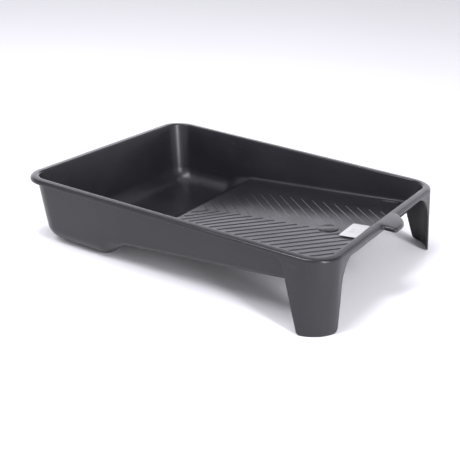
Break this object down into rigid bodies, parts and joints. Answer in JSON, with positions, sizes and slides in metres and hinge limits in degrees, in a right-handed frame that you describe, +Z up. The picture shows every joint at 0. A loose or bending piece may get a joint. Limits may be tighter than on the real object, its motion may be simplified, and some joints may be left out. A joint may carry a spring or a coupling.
{
  "type": "paint roller tray",
  "caption": "Shallow moulded paint tray with a deep well at one end, a chevron-ribbed ramp rising to two corner legs, a rolled rim and a small hanging tab.",
  "frame": {"origin": "centre of the bounding box, on the floor plane that the well base and both feet stand on", "axes": "+X along the tray from the deep well to the legs and the hanging tab, +Y across it, +Z up"},
  "size_m": [0.3854, 0.2914, 0.0749],
  "materials": {
    "black_plastic": "semi-gloss moulded plastic with a fine grain",
    "white_label": "matt white adhesive label"
  },
  "bodies": {
    "root": {"tray": "black_plastic", "label": "white_label"}
  },
  "joints": []
}
